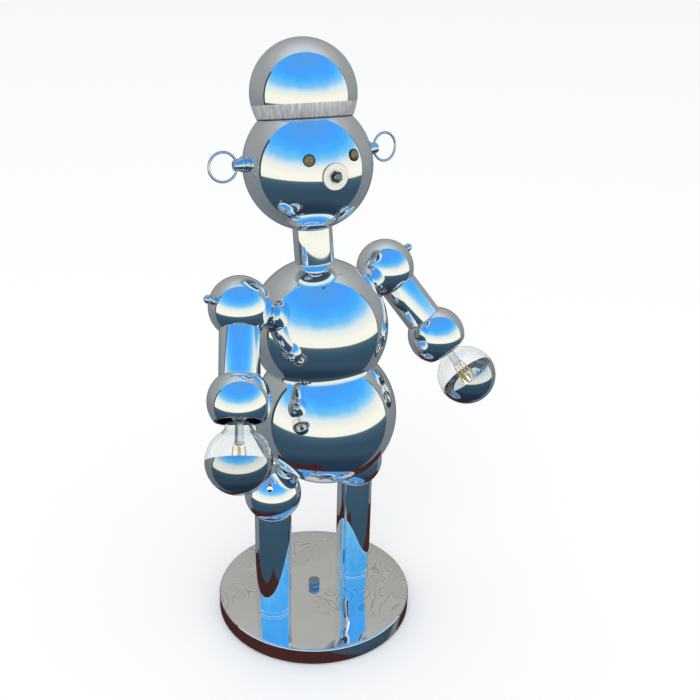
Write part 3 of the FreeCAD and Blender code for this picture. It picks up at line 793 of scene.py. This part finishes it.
# Painted shade: a thin dark ring on the plate's edge stands in for the shadow line round it.
plate_painted_shade = [(PLATE - 0.0001, 0.0002)] + arc(PLATE - 0.0004, 0.0009, 0.00044, 0, 75, 5)
turned("nose_plate_edge", plate_painted_shade, nose_seat, NOSE, "head", dark_rim, around=120)
nut_seat = nose_seat + NOSE * 0.0013
NUT = 0.0056
NUT_HEIGHT = 0.0026
nut = [(0.0031, 0), (0.0050, 0), (NUT, 0.0005), (NUT, 0.0021), (0.0050, NUT_HEIGHT), (0.0031, NUT_HEIGHT)]
turned("nose_nut_skin", nut, nut_seat, NOSE, "head", dark_rim, ["nose_nut"], around=96, closed=True,
       wave=hexagon_wave(0.00485), sharp=25)
bushing = [(0.0025, -0.0013)]
for number in range(9):
    low = -0.001 + number * 0.00075
    bushing += [(0.0030, low), (0.0030, low + 0.0003), (0.00275, low + 0.00052)]
bushing += [(0.0029, 0.0057 - 0.0001), (0.0021, 0.0058), (0.00196, 0.0054), (0.00196, 0.0)]
turned("nose_bushing", bushing, nose_seat, NOSE, "head", dull_steel, ["nose_switch_body"], around=64, sharp=60)
plunger = [(0, -0.008), (0.0019, -0.008), (0.0019, 0.0088), (0.0017, 0.0092), (0.0019, 0.0096)]
plunger += arc(0, 0.0104, 0.0019, 0, 90, 12)
turned("nose_plunger_skin", plunger, nose_seat, NOSE, "nose_button", dull_steel, ["nose_plunger"], around=48)
print("nose looks", [round(v, 4) for v in NOSE])

# %% [markdown]
# ## Ears
# Each ear is a turned knob: a flange, a groove, a collar and a cone, with a hole across its tip. A ring of
# round wire hangs through the hole and swings. The hole is a true hole: a boolean cut, done at once so that
# only the result stays in the mesh.

# %% Ear knobs and rings
EAR_RISE = 0.0076
EAR_FOOT = HEAD + SPINE * EAR_RISE
EAR_SURFACE = math.sqrt(HEAD_RADIUS ** 2 - EAR_RISE ** 2)
EAR_REACH = EAR_SURFACE + 0.0122
FLANGE = 0.0074
EAR_TIP = 0.0044
RING = 0.0133
WIRE = 0.00125
RING_REST = {"right": 0.0, "left": math.radians(12)}


def drill(mesh, foot, way, radius, length):
    """Cut a round hole through a mesh and return the result as a new mesh."""
    solid = bpy.data.objects.new("solid_blank", mesh)
    bit_mesh = turned_mesh("bit", [(0, 0), (radius, 0), (radius, length), (0, length)], foot, way, around=40)
    bit = bpy.data.objects.new("drill_bit", bit_mesh)
    for item in (solid, bit):
        bpy.context.scene.collection.objects.link(item)
    hole = solid.modifiers.new("hole", "BOOLEAN")
    hole.operation = "DIFFERENCE"
    hole.solver = "EXACT"
    hole.object = bit
    bpy.context.view_layer.update()
    cut = bpy.data.meshes.new_from_object(solid.evaluated_get(bpy.context.evaluated_depsgraph_get()))
    for item in (solid, bit):
        bpy.data.objects.remove(item)
    return cut


def torus_mesh(centre, axis, radius, wire, around=96, about=24):
    build = bmesh.new()
    rings = []
    for step in range(around):
        turn = 2 * math.pi * step / around
        ring = []
        for part in range(about):
            tilt = 2 * math.pi * part / about
            reach = radius + wire * math.cos(tilt)
            place = (reach * math.cos(turn), reach * math.sin(turn), wire * math.sin(tilt))
            ring.append(build.verts.new(place))
        rings.append(ring)
    for step, ring in enumerate(rings):
        after = rings[(step + 1) % around]
        for part in range(about):
            follow = (part + 1) % about
            build.faces.new((ring[part], after[part], after[follow], ring[follow]))
    bmesh.ops.recalc_face_normals(build, faces=build.faces)
    mesh = bpy.data.meshes.new("torus")
    build.to_mesh(mesh)
    build.free()
    mesh.transform(Matrix.Translation(centre) @ square_to(axis))
    return mesh


wire_chrome = chrome("wire_chrome", tint=(206, 212, 220), haze=0.1, waviness=0.0)
for side, way in SIDES.items():
    out = head_way(way * 90, 0)
    seat = EAR_FOOT + out * (EAR_SURFACE - 0.0016)
    reach = EAR_REACH - EAR_SURFACE + 0.0016
    section = [(0, 0.0), (FLANGE, 0.0)] + arc(FLANGE - 0.0005, 0.0027, 0.0005, 0, 90, 5)
    section += [(FLANGE - 0.0013, 0.0033), (FLANGE - 0.0014, 0.0042)]
    section += arc(FLANGE - 0.0004, 0.0046, 0.0004, -90, 0, 4)
    section += arc(FLANGE - 0.0005, 0.0052, 0.0005, 0, 80, 5)
    section += [(FLANGE - 0.0007, 0.0058), (EAR_TIP + 0.0001, reach - 0.0008)]
    section += arc(EAR_TIP - 0.0006, reach - 0.0007, 0.0007, 10, 90, 5) + [(0, reach)]
    knob = turned_mesh("ear_knob", section, seat, out, around=96)
    hole_at = EAR_FOOT + out * (EAR_REACH - 0.0035)
    knob = drill(knob, hole_at - SPINE * 0.0148, SPINE, 0.00235, 0.0296)
    finish_piece(f"ear_knob_{side}_skin", knob, "head", trim_chrome, [f"ear_knob_{side}"], 30)
    hang = out * math.cos(RING_REST[side]) - AHEAD * math.sin(RING_REST[side])
    ring_centre = hole_at + hang * (RING - 0.00015)
    ring = torus_mesh(ring_centre, hang.cross(SPINE), RING, WIRE)
    finish_piece(f"ear_ring_{side}_skin", ring, f"ring_{side}", wire_chrome, [f"ear_ring_{side}"])
    print("ear", side, [round(v, 4) for v in ring_centre])

# %% [markdown]
# ## Parts that mostly hide inside
# Pipes, nuts, the weight, sockets and screw caps keep their solids. They hardly show, yet each gets the
# finish that the real part has, so that the lamp is right when it is opened or its hand is looked into.

# %% Inner finishes
def plated(name, tint, roughness):
    material, shader = new_material(name)
    shader.inputs["Metallic"].default_value = 1.0
    grain = noise(material, 220.0, detail=6.0)
    tone = ramp(material, grain, [(0, [value * 0.8 for value in tint]), (1, tint)])
    feed(material, tone, shader, "Base Color")
    spread = mapped(material, grain, to_min=roughness - 0.08, to_max=roughness + 0.12)
    feed(material, spread, shader, "Roughness")
    return material


def moulded(name, tint, roughness):
    material = plated(name, tint, roughness)
    material.node_tree.nodes["Principled BSDF"].inputs["Metallic"].default_value = 0.0
    return material


zinc = plated("zinc_plate", (196, 198, 200), 0.35)
cast_iron = plated("cast_iron", (62, 62, 66), 0.62)
brass = plated("nickel_brass", (206, 190, 150), 0.3)
ceramic = moulded("glazed_ceramic", (226, 224, 216), 0.2)
rubber = moulded("bush_rubber", (30, 30, 31), 0.7)
inner_finishes = {"base_weight": cast_iron, "cord_bush": rubber}
for side in SIDES:
    inner_finishes[f"lamp_socket_{side}"] = ceramic
    inner_finishes[f"bulb_screw_cap_{side}"] = brass
plain = 0
for name, node in frame["nodes"].items():
    if node.hide_render:
        continue
    node.data.materials.clear()
    node.data.materials.append(inner_finishes.get(name, zinc))
    plain += 1
print("nodes kept as solids", plain)

# %% [markdown]
# ## The stage
# The lamp stands on a plain white floor in soft light. A mirror shows what stands round it, so the studio
# has a big dome that only mirrors see: blue above, a pale band at the horizon, slate below, and a light
# grey wall behind the lamp. It is part of the stage, not of the lamp, and takes no part in the white
# background.

# %% Floor and world
def emission_only(name):
    material, shader = new_material(name)
    nodes = material.node_tree.nodes
    nodes.remove(shader)
    glow = nodes.new("ShaderNodeEmission")
    feed(material, glow.outputs["Emission"], nodes["Material Output"], "Surface")
    return material, glow


floor_material, shader = new_material("floor_white")
shader.inputs["Base Color"].default_value = (0.96, 0.96, 0.96, 1)
shader.inputs["Roughness"].default_value = 0.9
bpy.ops.mesh.primitive_plane_add(size=30, location=(0, 0, -0.0002))
floor = bpy.context.object
floor.name = "floor"
floor.data.materials.append(floor_material)
floor.visible_glossy = False
world = bpy.data.worlds.new("studio")
bpy.context.scene.world = world
world.use_nodes = True
world.node_tree.nodes["Background"].inputs["Color"].default_value = (1, 1, 1, 1)
world.node_tree.nodes["Background"].inputs["Strength"].default_value = 1.0
print("floor and world ready")

# %% [markdown]
# ## The dome for the mirrors
# The dome is a sphere with light on its inside. Its colours follow the height of each point on it, read
# from the dome's own coordinates. The grey wall is a round part of it. A dark line runs up both sides of
# the wall, thicker on one, and draws the thin dark outline of the balls. A soft darker patch lies low in
# the wall. A plain dark rectangle is the table top that they mirror.

# %% Dome
WALL_FACES = math.radians(29)
WALL_REACH = math.radians(79.5)
EDGE_REACH = math.radians(84)
LINE_REACH = math.radians(80.8)
SHADE_FACES = math.radians(38)
SHADE_DROP = math.radians(-22)
dome_material, glow = emission_only("dome_light")
to_point = add(dome_material, "VectorMath", "NORMALIZE")
feed(dome_material, object_place(dome_material), to_point, 0)
normal = to_point.outputs["Vector"]
parts = add(dome_material, "SeparateXYZ")
feed(dome_material, normal, parts, "Vector")


def dome_sum(operation, *terms):
    return calculate(dome_material, operation, *terms)


def nearness(turn, lift):
    """The cosine of the angle between a point of the dome and a direction, both seen from the middle."""
    level = math.cos(lift)
    return along(dome_material, normal, (math.sin(turn) * level, math.cos(turn) * level, math.sin(lift)))


height = parts.outputs["Z"]
cloud = noise(dome_material, 3.2, normal, detail=6.0)
rise = dome_sum("MULTIPLY_ADD", height, 0.5, 0.5)
drift = dome_sum("MULTIPLY", dome_sum("SUBTRACT", cloud, 0.5), 0.11)
above = dome_sum("MINIMUM", dome_sum("MAXIMUM", dome_sum("MULTIPLY", height, 2.0), 0.0), 1.0)
clouded = dome_sum("ADD", rise, dome_sum("MULTIPLY", drift, above))
sky = ramp(dome_material, clouded, [
    (0.0, (34, 52, 70)), (0.07, (38, 58, 76)), (0.146, (56, 77, 94)), (0.243, (54, 78, 96)),
    (0.345, (65, 92, 109)), (0.384, (84, 108, 120)), (0.396, (250, 246, 228)), (0.48, (252, 249, 232)),
    (0.54, (242, 242, 230)),
    (0.61, (228, 234, 230)), (0.65, (182, 219, 240)), (0.70, (120, 197, 242)), (0.79, (78, 177, 250)),
    (0.883, (71, 163, 251)), (1.0, (84, 158, 230))])
wall = ramp(dome_material, rise, [
    (0.0, (96, 104, 112)), (0.2, (116, 123, 130)), (0.35, (127, 132, 136)), (0.5, (146, 150, 150)),
    (0.7, (154, 156, 154)), (0.85, (171, 173, 170)), (0.96, (196, 206, 210))])
edge = ramp(dome_material, rise, [(0.0, (40, 50, 56)), (0.5, (56, 70, 76)), (1.0, (70, 84, 90))])
shade = ramp(dome_material, rise, [(0.0, (92, 96, 100)), (1.0, (104, 108, 111))])
to_wall = nearness(WALL_FACES, 0)
edge_height = dome_sum("MULTIPLY", dome_sum("LESS_THAN", height, 0.55),
                       dome_sum("GREATER_THAN", height, -0.28))
thick_side = dome_sum("MULTIPLY", dome_sum("LESS_THAN", parts.outputs["X"], 0.0),
                      dome_sum("GREATER_THAN", to_wall, math.cos(EDGE_REACH)))
thin_side = dome_sum("GREATER_THAN", to_wall, math.cos(LINE_REACH))
on_edge = dome_sum("MULTIPLY", dome_sum("MAXIMUM", thick_side, thin_side), edge_height)
on_wall = dome_sum("GREATER_THAN", to_wall, math.cos(WALL_REACH))
in_shade = dome_sum("MULTIPLY_ADD", nearness(SHADE_FACES, SHADE_DROP), 7.0, -6.0)
in_shade.node.use_clamp = True
around_wall = blend_colours(dome_material, on_edge, sky, edge)
shaded_wall = blend_colours(dome_material, in_shade, wall, shade)
on_dome = blend_colours(dome_material, on_wall, around_wall, shaded_wall)
feed(dome_material, on_dome, glow, "Color")
glow.inputs["Strength"].default_value = 1.12


def only_for_mirrors(item):
    item.visible_camera = False
    item.visible_diffuse = False
    item.visible_transmission = False
    item.visible_volume_scatter = False
    item.visible_shadow = False


bpy.ops.mesh.primitive_uv_sphere_add(segments=96, ring_count=48, radius=9, location=(0, 0, 0.3))
dome = bpy.context.object
dome.name = "mirror_dome"
dome.data.materials.append(dome_material)
only_for_mirrors(dome)
table_material, glow = emission_only("table_light")
glow.inputs["Color"].default_value = colour(70, 42, 42)
EDGE_WAY = Vector((0.990, 0.137, 0))
INWARD = Vector((-0.137, 0.990, 0))
BELOW = Vector((0, 0, -0.001))
LEFT_END, RIGHT_END, FRONT_EDGE, BACK_EDGE = -0.165, 0.25, -0.1035, 0.155
corners = [EDGE_WAY * side_step + INWARD * back + BELOW
           for side_step, back in ((LEFT_END, FRONT_EDGE), (RIGHT_END, FRONT_EDGE),
                                   (RIGHT_END, BACK_EDGE), (LEFT_END, BACK_EDGE))]
table_mesh = bpy.data.meshes.new("mirror_table")
table_mesh.from_pydata([tuple(corner) for corner in corners], [], [(0, 1, 2, 3)])
table = bpy.data.objects.new("mirror_table", table_mesh)
bpy.context.scene.collection.objects.link(table)
table.data.materials.append(table_material)
only_for_mirrors(table)
print("dome wall reaches", round(math.degrees(WALL_REACH), 1))

# %% [markdown]
# ## Light and camera
# One broad soft lamp from the upper left gives the floor its faint shadow; the white world does the rest.
# The camera stands where the photographer stood, worked out from the outlines of the balls and the round
# base.

# %% Lamp and camera
light_data = bpy.data.lights.new("soft_lamp", "AREA")
light_data.shape = "DISK"
light_data.size = 1.6
light_data.energy = 9.0
light = bpy.data.objects.new("soft_lamp", light_data)
light.location = (-1.3, -1.2, 2.2)
light.rotation_euler = (Vector((0, 0, 0.2)) - light.location).to_track_quat("-Z", "Y").to_euler()
light.visible_glossy = False
bpy.context.scene.collection.objects.link(light)

EYE = Vector((-0.5571, -0.7120, 0.7314))
YAW, PITCH, ROLL = 0.7007, 0.4359, 0.0263
FOCAL_PIXELS = 1000.0
IMAGE_PIXELS = 700.0
forward = Vector((math.cos(PITCH) * math.sin(YAW), math.cos(PITCH) * math.cos(YAW), -math.sin(PITCH)))
right = Vector((math.cos(YAW), -math.sin(YAW), 0))
up = right.cross(forward)
rolled_right = right * math.cos(ROLL) + up * math.sin(ROLL)
rolled_up = up * math.cos(ROLL) - right * math.sin(ROLL)
camera_data = bpy.data.cameras.new("camera")
camera_data.sensor_width = 36.0
camera_data.lens = 36.0 * FOCAL_PIXELS / IMAGE_PIXELS
camera = bpy.data.objects.new("camera", camera_data)
turn = Matrix((rolled_right, rolled_up, -forward)).transposed().to_4x4()
camera.matrix_world = Matrix.Translation(EYE) @ turn
bpy.context.scene.collection.objects.link(camera)
bpy.context.scene.camera = camera
bpy.context.scene.view_settings.view_transform = "Standard"
print("lens", round(camera_data.lens, 2))
